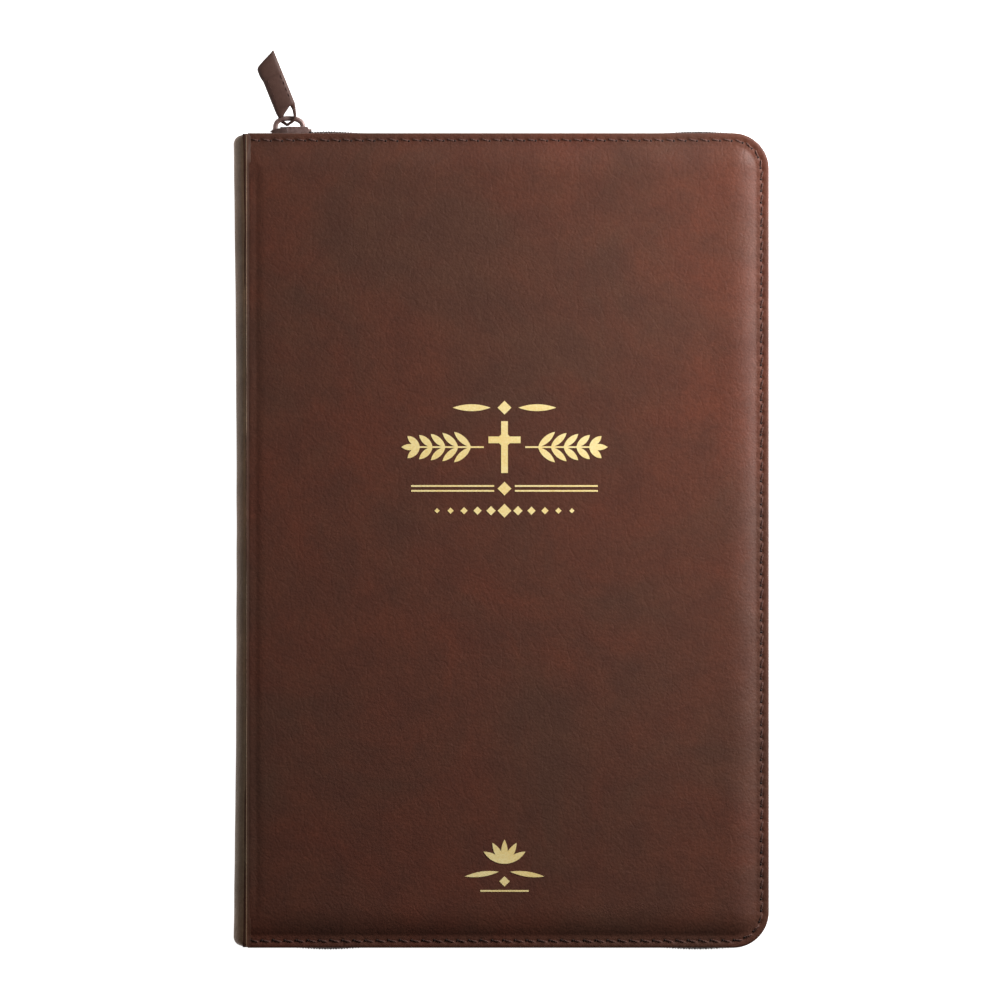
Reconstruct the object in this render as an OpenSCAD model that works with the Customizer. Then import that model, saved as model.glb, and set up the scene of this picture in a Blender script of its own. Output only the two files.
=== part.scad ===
/* [Case] */
// Width across the closed case, spine to fore-edge
case_w = 155; // [150:1:160]
// Height of the closed case, head to tail
case_h = 235.7; // [230:0.1:240]
// Thickness of the closed case at the middle of the covers
case_t = 42; // [42:0.5:44]
// Corner radius at the fore-edge
corner_r = 10.4; // [9:0.1:12]
// Thickness of the leather
leather_t = 1; // [0.9:0.1:1.1]
// How far the padded middle stands above the stitched flange
puff = 1.64; // [1.4:0.02:1.8]
// Width of the flat stitched flange
flange_w = 4.5; // [4:0.1:5]
// Distance from the edge to the row of stitches
stitch_in = 2; // [1.8:0.1:2.4]
// Thickness of the stiff board in each cover
board_t = 1.6; // [1.2:0.1:1.7]

/* [Spine] */
// Radius of the rolled spine edges
spine_r = 4; // [3.8:0.1:4.2]
// Width of the open groove beside the spine
groove_w = 1.2; // [1.2:0.1:1.6]

/* [Pages] */
// Height of a page
page_h = 219; // [215:1:220]
// Width of a page
page_w = 142; // [138:1:142]
// Rounding of the page corners at the fore-edge
page_r = 6; // [3:1:8]
// Thickness of a loose leaf
leaf_t = 0.12; // [0.1:0.01:0.14]
// Width of the ribbon marker
ribbon_w = 10; // [8:0.5:12]

/* [Zip] */
// Thickness of the woven tape
tape_t = 0.6; // [0.5:0.05:0.65]
// Width of one row of coil
coil_w = 2.6; // [2.2:0.1:2.8]
// Length of the slider
slider_l = 12.2; // [11:0.1:12.6]
// Height of the slider across both rows of coil
slider_h = 8.4; // [8:0.1:9]
// Place of the slider's middle when the case is shut
slider_x = -61; // [-61:0.5:-58]
// Diameter of the bail's wire
bail_d = 1.3; // [1.1:0.1:1.4]

/* [Pull] */
// Width of the leather pull
pull_w = 6; // [5.6:0.1:6.2]
// Length of the pull beyond its pivot
pull_l = 15.3; // [14:0.1:16]
// Lean of the pull towards the spine
pull_lean = 22; // [0:1:30]

/* [Hidden] */
$fn = 48;

foil_t = 0.06;
half_h = case_h / 2;
edge_x = case_w / 2;
mid_z = case_t / 2;
crown_top = case_t - foil_t;
flange_top = crown_top - puff;
flange_under = flange_top - leather_t;

// The covers start beyond the groove, so that the spine's lips can roll past them
lip_x = -edge_x + spine_r - 0.1;
cover_x = lip_x + groove_w;

// Layers of a cover, from the outside in
board_top = flange_under - 0.4;
board_under = board_top - board_t;
lining_t = 0.5;
lining_under = board_under - lining_t;
paper_t = 0.15;
pastedown_under = lining_under - paper_t;
flyleaf_under = pastedown_under - 2 * paper_t;
lining_in = 2.4;
padding_in = flange_w + 0.5;

// Page block and the gap where it opens
page_x = -edge_x + 6;
pages_outer = flyleaf_under - paper_t;
rear_top = mid_z - 0.8;
front_under = mid_z + 0.65;
leaf_pitch = 0.25;
leaf_first = mid_z - 0.36;
ribbon_t = 0.2;

// Zip
tape_in = 1.65;
coil_in = 0.15;
coil_t = 1.4;
slit = 0.8;
coil_low = mid_z + slit / 2;
tape_low = coil_low + 0.1;
zip_end_x = -edge_x + 6.5;
coil_end_x = zip_end_x + 2.4;
plate_t = 1.2;
plate_y = half_h + 0.45;
bail_y = plate_y + plate_t + 2.85;
bail_half = 4;
bail_mid_x = slider_x - 0.45;
bend_r = 1.5;

// Pull
loop_gap_r = bail_d / 2 + 0.25;
loop_out_r = loop_gap_r + 0.7;
loop_w = 3;
loop_x = bail_mid_x - 1.35;
pivot_y = bail_y + 4.5;
ply_t = 0.9;
pull_half_t = 1.9;

// Ornament
title_x = 1;
title_y = 24;
emblem_y = -95;
rule_w = 0.5;

// Small parts
clear = 0.02;
stitch_w = 0.5;
stitch_t = 0.25;
stop_l = 1.8;
band_in = 6.2;
headband_r = 1;
spine_rules_y = [36, 33, -101, -104];
spine_rule_l = 24;
spring_l = 5.2;
web_l = 2.5;
web_t = 0.4;
thread_w = 0.3;

// ---------- outlines ----------

// A panel with square corners at the spine and round ones at the fore-edge
module panel(x0, x1, half, r) {
    translate([x0, -half]) square([x1 - r - x0, 2 * half]);
    translate([x0, r - half]) square([x1 - x0, 2 * (half - r)]);
    for (side = [-1, 1])
        translate([x1 - r, side * (half - r)]) circle(r);
}

module cover_outline(inset, spine_inset = 0) {
    panel(cover_x + spine_inset, edge_x - inset, half_h - inset, corner_r - inset);
}

module page_outline(grow = 0) {
    panel(page_x, page_x + page_w + grow, page_h / 2 + grow, page_r);
}

// The strip between two insets round head, fore-edge and tail
module edge_band(inset, width, x0) {
    difference() {
        panel(x0, edge_x - inset, half_h - inset, corner_r - inset);
        panel(x0 - 1, edge_x - inset - width, half_h - inset - width, corner_r - inset - width);
    }
}

module slab(low, high) {
    translate([0, 0, low]) linear_extrude(high - low) children();
}

// Turns a front-cover shape into the matching back-cover one
module at_back() {
    translate([0, 0, case_t]) mirror([0, 0, 1]) children();
}

// ---------- covers ----------

module puffed(low, edge_z, top_z, inset, spine_inset) {
    hull() {
        slab(low, edge_z) cover_outline(inset, spine_inset);
        slab(edge_z, (edge_z + 3 * top_z) / 4) cover_outline(inset + 4, spine_inset + 2);
        slab(edge_z, top_z) cover_outline(corner_r - 1.2 + inset / 2, spine_inset + 5);
    }
}

module cover_leather(top_z) {
    difference() {
        union() {
            slab(flange_under, flange_top) cover_outline(0);
            puffed(flange_under, flange_top, top_z, flange_w - 0.5, 0);
        }
        puffed(flange_under - 1, flange_under, top_z - leather_t, padding_in, 1);
    }
}

module cover_padding(top_z) {
    puffed(board_top, flange_under - clear, top_z - leather_t - clear, padding_in + 0.05, 1.1);
}

module cover_board() {
    slab(board_under, board_top) cover_outline(lining_in, 0.5);
}

module cover_lining() {
    slab(lining_under, board_under) cover_outline(lining_in, 0.2);
}

module cover_pastedown() {
    slab(pastedown_under, lining_under) page_outline(0.6);
}

module cover_flyleaf() {
    slab(flyleaf_under, flyleaf_under + paper_t) page_outline(0.2);
}

module zip_tape() {
    slab(tape_low, flange_under) edge_band(tape_in, tape_t, zip_end_x);
}

module zip_coil() {
    slab(coil_low, coil_low + coil_w) edge_band(coil_in, coil_t, coil_end_x);
}

module zip_stops() {
    for (side = [-1, 1])
        translate([zip_end_x + 0.4, side * (half_h - tape_in + coil_t / 2) - coil_t / 2, coil_low])
            cube([stop_l, coil_t, coil_w]);
}

module stitch_line() {
    slab(flange_top, flange_top + stitch_t) edge_band(stitch_in - stitch_w / 2, stitch_w, cover_x + 1);
}

module front_leather() { color("#6a4238") cover_leather(crown_top); }
module front_padding() { color("#d8d2bd") cover_padding(crown_top); }
module front_board() { color("#8b8478") cover_board(); }
module front_lining() { color("#4a2a22") cover_lining(); }
module front_pastedown() { color("#e9e1cc") cover_pastedown(); }
module front_flyleaf() { color("#efe8d6") cover_flyleaf(); }
module front_zip_tape() { color("#4a2c24") zip_tape(); }
module front_zip_coil() { color("#3c231c") zip_coil(); }
module front_zip_stops() { color("#7b5a50") zip_stops(); }
module front_stitching() { color("#5a3428") stitch_line(); }

module back_leather() { color("#6a4238") at_back() cover_leather(case_t); }
module back_padding() { color("#d8d2bd") at_back() cover_padding(case_t); }
module back_board() { color("#8b8478") at_back() cover_board(); }
module back_lining() { color("#4a2a22") at_back() cover_lining(); }
module back_pastedown() { color("#e9e1cc") at_back() cover_pastedown(); }
module back_flyleaf() { color("#efe8d6") at_back() cover_flyleaf(); }
module back_zip_tape() { color("#4a2c24") at_back() zip_tape(); }
module back_zip_coil() { color("#3c231c") at_back() zip_coil(); }
module back_zip_stops() { color("#7b5a50") at_back() zip_stops(); }
module back_stitching() { color("#5a3428") at_back() stitch_line(); }

// ---------- pages ----------

module front_pages() {
    color("#d9b25f") slab(front_under, pages_outer) page_outline();
}

module rear_pages() {
    color("#d9b25f") slab(case_t - pages_outer, rear_top) page_outline();
}

// One of the loose leaves between the two halves, counted from the back
module leaf(n) {
    low = leaf_first + n * leaf_pitch;
    color("#efe8d6")
        slab(low, low + leaf_t) panel(page_x + 0.2, page_x + page_w, page_h / 2, page_r);
}

// The ribbon leaves the spine at the head and its end hangs out at the tail
module ribbon_marker() {
    top_x = page_x + 4;
    end_x = page_x + 34;
    end_y = -page_h / 2 - 4;
    color("#7d1f22")
        slab(rear_top + clear, rear_top + clear + ribbon_t)
            polygon([
                [top_x, page_h / 2 - 1], [end_x, end_y],
                [end_x + ribbon_w, end_y + 3], [top_x + ribbon_w, page_h / 2 - 1]
            ]);
}

// ---------- spine ----------

// Cross-section of the case at the spine: across, then through the thickness
module spine_section(inset) {
    r = spine_r - inset;
    translate([inset - edge_x, inset + r]) square([2 * r, case_t - 2 * (inset + r)]);
    translate([inset - edge_x + r, inset]) square([2 * r, case_t - 2 * inset]);
    for (z = [spine_r, case_t - spine_r])
        translate([spine_r - edge_x, z]) circle(r);
}

module along_spine(half) {
    translate([0, half, 0]) rotate([90, 0, 0]) linear_extrude(2 * half) children();
}

module spine_leather() {
    color("#5f4a3a")
        along_spine(half_h - 0.4) difference() {
            spine_section(0);
            spine_section(leather_t + 0.2);
            translate([lip_x, -1]) square([spine_r * 3, case_t + 2]);
        }
}

module spine_card() {
    color("#8b8478")
        along_spine(half_h - 4)
            translate([leather_t + 0.3 - edge_x, spine_r + 1]) square([0.8, case_t - 2 * spine_r - 2]);
}

module spine_cloth() {
    color("#cfc8b4")
        along_spine(page_h / 2 - 6) translate([page_x - 1.1, band_in]) square([0.6, case_t - 2 * band_in]);
}

// A ribbed silk band across the end of the page block
module headband(side) {
    color("#b98b3c")
        translate([page_x - 1.6, side * (page_h / 2 - 1), band_in])
            cylinder(r = headband_r, h = case_t - 2 * band_in);
}

module spine_foil() {
    color("#d9bd6f")
        for (y = spine_rules_y)
            translate([-edge_x - foil_t, y, mid_z - spine_rule_l / 2]) cube([foil_t, 1, spine_rule_l]);
}

// ---------- gold ornament ----------

module lozenge(w, h) {
    polygon([[w / 2, 0], [0, h / 2], [-w / 2, 0], [0, -h / 2]]);
}

// A pointed leaf lying along +X from the origin
module petal(l, w) {
    r = (l * l / 4 + w * w / 4) / w;
    translate([l / 2, 0]) intersection() {
        translate([0, r - w / 2]) circle(r);
        translate([0, w / 2 - r]) circle(r);
    }
}

module cross_sign(h) {
    arm = h * 0.13;
    square([arm, h], center = true);
    translate([0, h * 0.14]) square([h * 0.62, arm], center = true);
    translate([0, h * 0.14]) lozenge(arm * 2.6, arm * 2.6);
}

// A leafy branch running outwards along +X
module sprig(leaves, pitch) {
    translate([0, -rule_w / 2]) square([leaves * pitch + 1, rule_w]);
    for (i = [1:leaves], side = [-1, 1])
        translate([i * pitch, 0]) rotate(side * 42) petal(pitch * 1.9 - i * 0.45, 1.9);
    translate([leaves * pitch + 0.5, 0]) petal(pitch * 1.3, 1.8);
}

module title_foil() {
    color("#e6c878")
        translate([title_x, title_y, crown_top]) linear_extrude(foil_t) {
            translate([0, 3]) cross_sign(15);
            for (m = [0, 1]) mirror([m, 0]) {
                translate([6, 3]) sprig(5, 3.7);
                translate([4, 14.4]) petal(11, 2);
                translate([3, -9.9]) square([24, rule_w]);
                translate([3, -8.5]) square([24, rule_w]);
                for (i = [1:5])
                    translate([i * 3.9, -15.4]) lozenge(3 - i * 0.3, 3 - i * 0.3);
            }
            for (y = [14.4, -9, -15.4])
                translate([0, y]) lozenge(4, 4);
        }
}

module emblem_foil() {
    color("#e6c878")
        translate([title_x, emblem_y, crown_top]) linear_extrude(foil_t) {
            for (a = [30:30:150])
                translate([0, 1.5]) rotate(a) petal(7, 1.9);
            for (m = [0, 1]) mirror([m, 0])
                translate([1.6, -0.8]) rotate(-8) petal(10, 1.5);
            translate([0, -3.6]) lozenge(3, 3);
            translate([-7, -6.6]) square([14, rule_w]);
        }
}

// ---------- slider and pull ----------

// Two plates with only a thin web between the rows of coil, so that the front row can lift out
module slider_body() {
    inner_y = half_h - tape_in - tape_t - 2;
    color("#8a6a5e")
        translate([slider_x, 0, mid_z]) {
            for (y = [inner_y, plate_y])
                translate([0, y + plate_t, 0]) rotate([90, 0, 0]) linear_extrude(plate_t) {
                    square([slider_l - 2 * bend_r, slider_h], center = true);
                    square([slider_l, slider_h - 2 * bend_r], center = true);
                    for (x = [-1, 1], z = [-1, 1])
                        translate([x * (slider_l / 2 - bend_r), z * (slider_h / 2 - bend_r)])
                            circle(bend_r);
                }
            translate([slider_l / 2 - 4, inner_y + 1, -web_t / 2]) cube([web_l, plate_y - inner_y, web_t]);
        }
}

module slider_bail() {
    leg_low = plate_y + plate_t;
    color("#7b5a50")
        translate([bail_mid_x, 0, mid_z]) {
            translate([bend_r - bail_half, bail_y, 0])
                rotate([0, 90, 0]) cylinder(d = bail_d, h = 2 * (bail_half - bend_r));
            for (m = [0, 1]) mirror([m, 0, 0]) {
                translate([bail_half, leg_low, 0])
                    rotate([-90, 0, 0]) cylinder(d = bail_d, h = bail_y - bend_r - leg_low);
                translate([bail_half - bend_r, bail_y - bend_r, 0])
                    rotate_extrude(angle = 90) translate([bend_r, 0]) circle(d = bail_d);
            }
        }
}

module slider_lock_spring() {
    color("#8f7a6e")
        translate([bail_mid_x - spring_l / 2, plate_y + plate_t, mid_z - 1]) cube([spring_l, 0.4, 2]);
}

// The leather bight round the bail: a ring with two legs that close into a tongue
module pull_loop() {
    color("#58423a")
        translate([loop_x - loop_w / 2, bail_y, mid_z]) rotate([90, 0, 90]) linear_extrude(loop_w)
            difference() {
                union() {
                    circle(loop_out_r);
                    translate([0, -ply_t]) square([pivot_y - bail_y + 1.8, 2 * ply_t]);
                    translate([0, -loop_out_r]) square([0.6, 2 * loop_out_r]);
                }
                circle(loop_gap_r);
            }
}

// Two plies either side of the tongue, closed together beyond it
module pull_tab() {
    color("#58423a")
        translate([loop_x, pivot_y, mid_z]) rotate(90 + pull_lean) {
            for (side = [0, 1]) mirror([0, 0, side])
                translate([0, 0, ply_t + 0.15]) linear_extrude(pull_half_t - ply_t - 0.15)
                    pull_outline();
            translate([3.2, -pull_w / 2, -pull_half_t + 0.5])
                cube([pull_l - 6.4, pull_w, 2 * pull_half_t - 1]);
        }
}

// The outer end is cut on a slant
module pull_outline() {
    half = pull_w / 2;
    circle(half);
    polygon([[0, -half], [pull_l, -half], [pull_l - 3.1, half - 0.5], [pull_l - 4.2, half], [0, half]]);
}

module pull_tab_thread() {
    color("#6d5146")
        translate([loop_x, pivot_y, mid_z + pull_half_t]) rotate(90 + pull_lean)
            for (side = [-1, 1])
                translate([2.5, side * (pull_w / 2 - 0.8) - thread_w / 2, 0]) cube([pull_l - 8, thread_w, 0.15]);
}

back_leather();
back_padding();
back_board();
back_lining();
back_pastedown();
back_flyleaf();
rear_pages();
ribbon_marker();
back_zip_tape();
back_zip_coil();
back_zip_stops();
back_stitching();
spine_leather();
spine_card();
spine_cloth();
headband(1);  // headband_head
headband(-1);  // headband_tail
spine_foil();
front_leather();
front_padding();
front_board();
front_lining();
front_pastedown();
front_flyleaf();
front_pages();
front_zip_tape();
front_zip_coil();
front_zip_stops();
front_stitching();
title_foil();
emblem_foil();
leaf(0);  // leaf_1
leaf(1);  // leaf_2
leaf(2);  // leaf_3
leaf(3);  // leaf_4
slider_body();
slider_bail();
slider_lock_spring();
pull_loop();
pull_tab();
pull_tab_thread();
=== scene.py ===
import math
import random

import bpy
import bmesh
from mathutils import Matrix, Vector, noise


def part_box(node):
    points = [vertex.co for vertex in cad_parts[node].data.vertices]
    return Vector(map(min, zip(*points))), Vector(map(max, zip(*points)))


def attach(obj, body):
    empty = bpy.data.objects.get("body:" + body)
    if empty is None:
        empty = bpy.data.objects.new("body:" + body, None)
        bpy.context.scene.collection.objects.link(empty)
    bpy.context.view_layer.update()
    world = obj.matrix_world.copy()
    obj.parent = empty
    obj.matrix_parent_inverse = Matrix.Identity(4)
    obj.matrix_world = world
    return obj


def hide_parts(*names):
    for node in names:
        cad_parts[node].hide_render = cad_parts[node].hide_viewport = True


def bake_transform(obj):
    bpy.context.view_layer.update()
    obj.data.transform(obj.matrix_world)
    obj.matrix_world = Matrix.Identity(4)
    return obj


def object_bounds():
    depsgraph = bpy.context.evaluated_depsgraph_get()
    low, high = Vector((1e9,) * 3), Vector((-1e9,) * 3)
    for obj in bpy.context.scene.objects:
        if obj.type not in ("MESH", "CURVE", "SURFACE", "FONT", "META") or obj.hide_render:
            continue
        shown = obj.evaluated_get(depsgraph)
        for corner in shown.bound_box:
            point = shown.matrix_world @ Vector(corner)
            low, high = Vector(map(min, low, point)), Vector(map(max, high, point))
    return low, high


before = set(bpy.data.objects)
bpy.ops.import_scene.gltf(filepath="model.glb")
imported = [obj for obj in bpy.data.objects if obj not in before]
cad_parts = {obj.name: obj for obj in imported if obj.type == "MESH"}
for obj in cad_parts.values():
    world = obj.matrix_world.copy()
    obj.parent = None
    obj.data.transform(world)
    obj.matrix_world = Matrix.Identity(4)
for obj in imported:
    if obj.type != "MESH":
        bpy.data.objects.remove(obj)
CAD_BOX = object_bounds()
MM = 0.001
random.seed(7)

# ---------------------------------------------------------------- sizes from the frame

LEATHER_LOW, LEATHER_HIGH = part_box("front_leather")
COVER_X = LEATHER_LOW[0]
EDGE_X = LEATHER_HIGH[0]
HALF_H = LEATHER_HIGH[1]
CROWN_Z = LEATHER_HIGH[2]
FLANGE_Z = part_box("front_stitching")[0][2]
TOP_Z = CAD_BOX[1][2]
MID_Z = TOP_Z / 2
CORNER_R = 10.4 * MM
FLANGE_W = 4.5 * MM
RISE_END = 13 * MM
LEATHER_T = 1.0 * MM
SPINE_X = -EDGE_X
SPINE_R = 4 * MM
LIP_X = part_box("spine_leather")[1][0]
STITCH_IN = 2 * MM
STITCH_STEPS = 6
UP = Vector((0, 0, 1))


# ---------------------------------------------------------------- materials

def socket(node, name, value):
    node.inputs[name].default_value = value


class Look:
    """A principled material with a few short ways to add nodes to it."""

    def __init__(self, name, rough=0.5, metallic=0.0, **constants):
        self.material = bpy.data.materials.new(name)
        self.material.use_nodes = True
        self.tree = self.material.node_tree
        self.shader = self.tree.nodes["Principled BSDF"]
        socket(self.shader, "Roughness", rough)
        socket(self.shader, "Metallic", metallic)
        for key, value in constants.items():
            socket(self.shader, key.replace("_", " "), value)
        self.place = self.tree.nodes.new("ShaderNodeTexCoord").outputs["Object"]

    def node(self, kind, **settings):
        made = self.tree.nodes.new(kind)
        for key, value in settings.items():
            if hasattr(made, key):
                setattr(made, key, value)
            else:
                socket(made, key.replace("_", " "), value)
        return made

    def join(self, output, node, name):
        self.tree.links.new(output, node.inputs[name])

    def stretched(self, scale):
        made = self.node("ShaderNodeMapping", Scale=scale)
        self.join(self.place, made, "Vector")
        return made.outputs["Vector"]

    def noise(self, scale, detail=3.0, rough=0.5, distort=0.0, place=None):
        made = self.node("ShaderNodeTexNoise", Scale=scale, Detail=detail, Roughness=rough,
                         Distortion=distort)
        self.join(place or self.place, made, "Vector")
        return made.outputs["Fac"]

    def cells(self, scale, feature="F1", place=None):
        made = self.node("ShaderNodeTexVoronoi", feature=feature, Scale=scale)
        self.join(place or self.place, made, "Vector")
        return made.outputs["Distance"]

    def waves(self, scale, axis="X", distort=0.0):
        made = self.node("ShaderNodeTexWave", bands_direction=axis, Scale=scale, Distortion=distort)
        self.join(self.place, made, "Vector")
        return made.outputs["Fac"]

    def spread(self, value, low, high, to_low=0.0, to_high=1.0):
        made = self.node("ShaderNodeMapRange")
        ends = (("From Min", low), ("From Max", high), ("To Min", to_low), ("To Max", to_high))
        for name, number in ends:
            socket(made, name, number)
        self.join(value, made, "Value")
        return made.outputs["Result"]

    def sums(self, *terms):
        total = None
        for value, weight in terms:
            part = self.node("ShaderNodeMath", operation="MULTIPLY")
            self.join(value, part, 0)
            part.inputs[1].default_value = weight
            if total is None:
                total = part.outputs[0]
                continue
            both = self.node("ShaderNodeMath", operation="ADD")
            self.join(total, both, 0)
            self.join(part.outputs[0], both, 1)
            total = both.outputs[0]
        return total

    def mix(self, factor, first, second):
        made = self.node("ShaderNodeMix", data_type="RGBA")
        self.join(factor, made, 0)
        for slot, colour in ((6, first), (7, second)):
            if isinstance(colour, tuple):
                made.inputs[slot].default_value = (*colour, 1)
            else:
                self.tree.links.new(colour, made.inputs[slot])
        return made.outputs[2]

    def finish(self, colour=None, rough=None, height=None, depth=0.1 * MM, strength=1.0):
        if colour is not None:
            self.join(colour, self.shader, "Base Color")
        if rough is not None:
            self.join(rough, self.shader, "Roughness")
        if height is not None:
            bump = self.node("ShaderNodeBump", Distance=depth, Strength=strength)
            self.join(height, bump, "Height")
            self.join(bump.outputs["Normal"], self.shader, "Normal")
        return self.material


def leather(name, red, olive, deep, grain=1.0, gloss=0.2):
    """Grained leather in cloudy red and olive browns, darker in patches and flecks."""
    look = Look(name, Specular_IOR_Level=gloss, Coat_Weight=0.6 * gloss, Coat_Roughness=0.32)
    clouds = look.spread(look.noise(20, 5, 0.62, 0.6), 0.36, 0.64)
    patches = look.spread(look.noise(95, 6, 0.6, 0.4), 0.35, 0.7)
    fleck = look.spread(look.noise(900, 3, 0.6), 0.42, 0.6)
    colour = look.mix(clouds, red, olive)
    colour = look.mix(look.spread(patches, 0, 1, 0.0, 0.45), colour, deep)
    colour = look.mix(look.spread(fleck, 0, 1, 0.22, 0.0), colour, deep)
    warp = look.noise(140, 4, 0.6, 1.5)
    cracks = look.cells(260, "DISTANCE_TO_EDGE", look.stretched((1, 0.7, 1)))
    creases = look.spread(cracks, 0.0, 0.09)
    pebbles = look.cells(1250)
    fine = look.noise(2600, 4, 0.65)
    height = look.sums((pebbles, 0.55), (fine, 0.5), (creases, 0.22), (warp, 0.9))
    rough = look.spread(patches, 0, 1, 0.5, 0.62)
    return look.finish(colour, rough, height, 0.11 * MM * grain, 0.85)


def woven(name, dark, light, thread=0.5, rough=0.8, depth=0.08):
    """Cloth whose threads are about `thread` millimetres apart."""
    look = Look(name, rough, Sheen_Weight=0.08, Sheen_Roughness=0.5, Specular_IOR_Level=0.2)
    per_metre = 2.2 / (thread * MM) / (2 * math.pi) * 0.32
    across, along, yarn = (look.waves(per_metre, axis, 0.4) for axis in "XZY")
    weave = look.sums((across, 0.35), (along, 0.4), (yarn, 0.25))
    blotch = look.noise(120, 4)
    shade = look.sums((weave, 0.6), (blotch, 0.4))
    return look.finish(look.mix(look.spread(shade, 0.3, 0.7), dark, light), None, weave, depth * MM)


EDGE_LINES = (0.02, 0.02, 1)


def paper(name, shade, edge, ply=0.09):
    """Thin paper: faint fibres, and fine lines through the thickness where its edges show."""
    look = Look(name, 0.78, Specular_IOR_Level=0.3)
    lines = look.noise(1 / (ply * MM) * 0.12, 2, 0.5, place=look.stretched(EDGE_LINES))
    fibres = look.noise(700, 5, 0.7)
    tone = look.sums((lines, 0.75), (fibres, 0.25))
    return look.finish(look.mix(look.spread(tone, 0.35, 0.65), edge, shade), None, tone, 0.05 * MM)


def gilt():
    """Gold on the page edges, lined where the leaves end and rubbed in places."""
    look = Look("gilt_edge", 0.3, 1.0)
    lines = look.noise(1400, 2, 0.5, place=look.stretched(EDGE_LINES))
    rub = look.noise(60, 5, 0.6)
    colour = look.mix(look.spread(lines, 0.35, 0.65), (0.42, 0.24, 0.07), (0.86, 0.6, 0.24))
    rough = look.spread(rub, 0.3, 0.7, 0.24, 0.46)
    return look.finish(colour, rough, lines, 0.06 * MM)


def foil():
    """Stamped gold, finely speckled."""
    look = Look("gold_foil", 0.42, 0.12, Specular_IOR_Level=0.6)
    speckle = look.noise(1500, 4, 0.7)
    broad = look.noise(90, 3)
    tone = look.sums((speckle, 0.6), (broad, 0.4))
    colour = look.mix(look.spread(tone, 0.38, 0.62), (0.93, 0.68, 0.24), (1.0, 0.84, 0.42))
    return look.finish(colour, look.spread(speckle, 0.35, 0.65, 0.3, 0.5), speckle, 0.03 * MM)


def lacquer(name, base, worn, metal):
    """Lacquered metal, worn to a lighter shade in places."""
    look = Look(name, 0.36, metal, Coat_Weight=0.3, Coat_Roughness=0.25)
    wear = look.noise(420, 5, 0.65)
    pits = look.noise(3200, 3)
    colour = look.mix(look.spread(wear, 0.45, 0.72), base, worn)
    return look.finish(colour, look.spread(wear, 0.3, 0.7, 0.3, 0.5), pits, 0.02 * MM)


def plain(name, dark, light, scale, rough=0.6, depth=0.05):
    """An even material with a slight tone and relief."""
    look = Look(name, rough)
    tone = look.noise(scale, 5, 0.65)
    return look.finish(look.mix(look.spread(tone, 0.35, 0.65), dark, light), None, tone, depth * MM)


def silk():
    """Ribbed silk in two colours along the band."""
    look = Look("headband_silk", 0.45, Sheen_Weight=0.4)
    ribs = look.waves(330, "Z")
    colour = look.mix(look.spread(ribs, 0.4, 0.6), (0.35, 0.05, 0.05), (0.72, 0.52, 0.2))
    return look.finish(colour, None, ribs, 0.12 * MM)


def satin():
    """Deep red satin with ribs across it."""
    look = Look("ribbon_satin", 0.36, Sheen_Weight=0.5, Anisotropic=0.5)
    ribs = look.waves(900, "X")
    tone = look.noise(70, 4)
    colour = look.mix(look.spread(tone, 0.3, 0.7), (0.22, 0.012, 0.018), (0.34, 0.025, 0.03))
    return look.finish(colour, None, ribs, 0.03 * MM)


COVER_LEATHER = leather("cover_leather", (0.118, 0.034, 0.019), (0.088, 0.036, 0.022),
                        (0.047, 0.015, 0.009))
# The spine's leather is a lighter copy of the cover leather: a painted sheen, the reflection of the
# bright surroundings on the rolled spine.
SPINE_LEATHER_PAINTED_SHEEN = leather("spine_leather", (0.190, 0.105, 0.058), (0.150, 0.098, 0.058),
                        (0.080, 0.040, 0.024))
# The groove's leather is a darker, less glossy copy of the cover leather: painted shade in the crease
# beside the spine.
JOINT_LEATHER_PAINTED_SHADE = leather("joint_leather_painted_shade", (0.070, 0.027, 0.016), (0.056, 0.027, 0.017),
                        (0.030, 0.012, 0.008), grain=0.6, gloss=0.06)
LINING = leather("lining_leather", (0.055, 0.022, 0.015), (0.045, 0.022, 0.014),
                 (0.025, 0.010, 0.007), grain=0.6)
PULL_LEATHER = leather("pull_leather", (0.112, 0.056, 0.044), (0.098, 0.054, 0.043),
                       (0.060, 0.030, 0.024), grain=0.5, gloss=0.12)
THREAD = woven("waxed_thread", (0.052, 0.021, 0.016), (0.125, 0.058, 0.045), 0.25, 0.7, 0.05)
# Dark capsules set in the needle holes: painted shade in the holes.
PAINTED_HOLE_SHADE = plain("painted_hole_shade", (0.016, 0.006, 0.004), (0.030, 0.012, 0.009), 1200, 0.9)
TAPE = woven("zip_tape", (0.022, 0.010, 0.008), (0.055, 0.028, 0.022), 0.55)
COIL = plain("zip_coil", (0.02, 0.010, 0.008), (0.05, 0.026, 0.02), 900, 0.42, 0.02)
# The slider's lacquer comes in a lighter and a darker copy. The darker copy is painted shade on the
# plates, nose rails and web.
METAL = lacquer("slider_lacquer", (0.19, 0.112, 0.098), (0.34, 0.23, 0.21), 0.3)
METAL_PAINTED_SHADE = lacquer("slider_painted_shade", (0.065, 0.032, 0.026), (0.13, 0.075, 0.064), 0.3)
SPRING = lacquer("spring_steel", (0.35, 0.31, 0.28), (0.5, 0.46, 0.42), 0.9)
FOIL = foil()
GILT = gilt()
PAPER = paper("page_paper", (0.82, 0.78, 0.69), (0.68, 0.62, 0.5))
ENDPAPER = paper("end_paper", (0.78, 0.72, 0.6), (0.66, 0.58, 0.45), 0.15)
GREY_BOARD = plain("grey_board", (0.2, 0.18, 0.15), (0.34, 0.31, 0.27), 600, 0.85)
GAUZE = woven("gauze", (0.5, 0.47, 0.4), (0.75, 0.72, 0.64), 1.1)
RIBBON = satin()
SILK = silk()


# ---------------------------------------------------------------- mesh helpers

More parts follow.
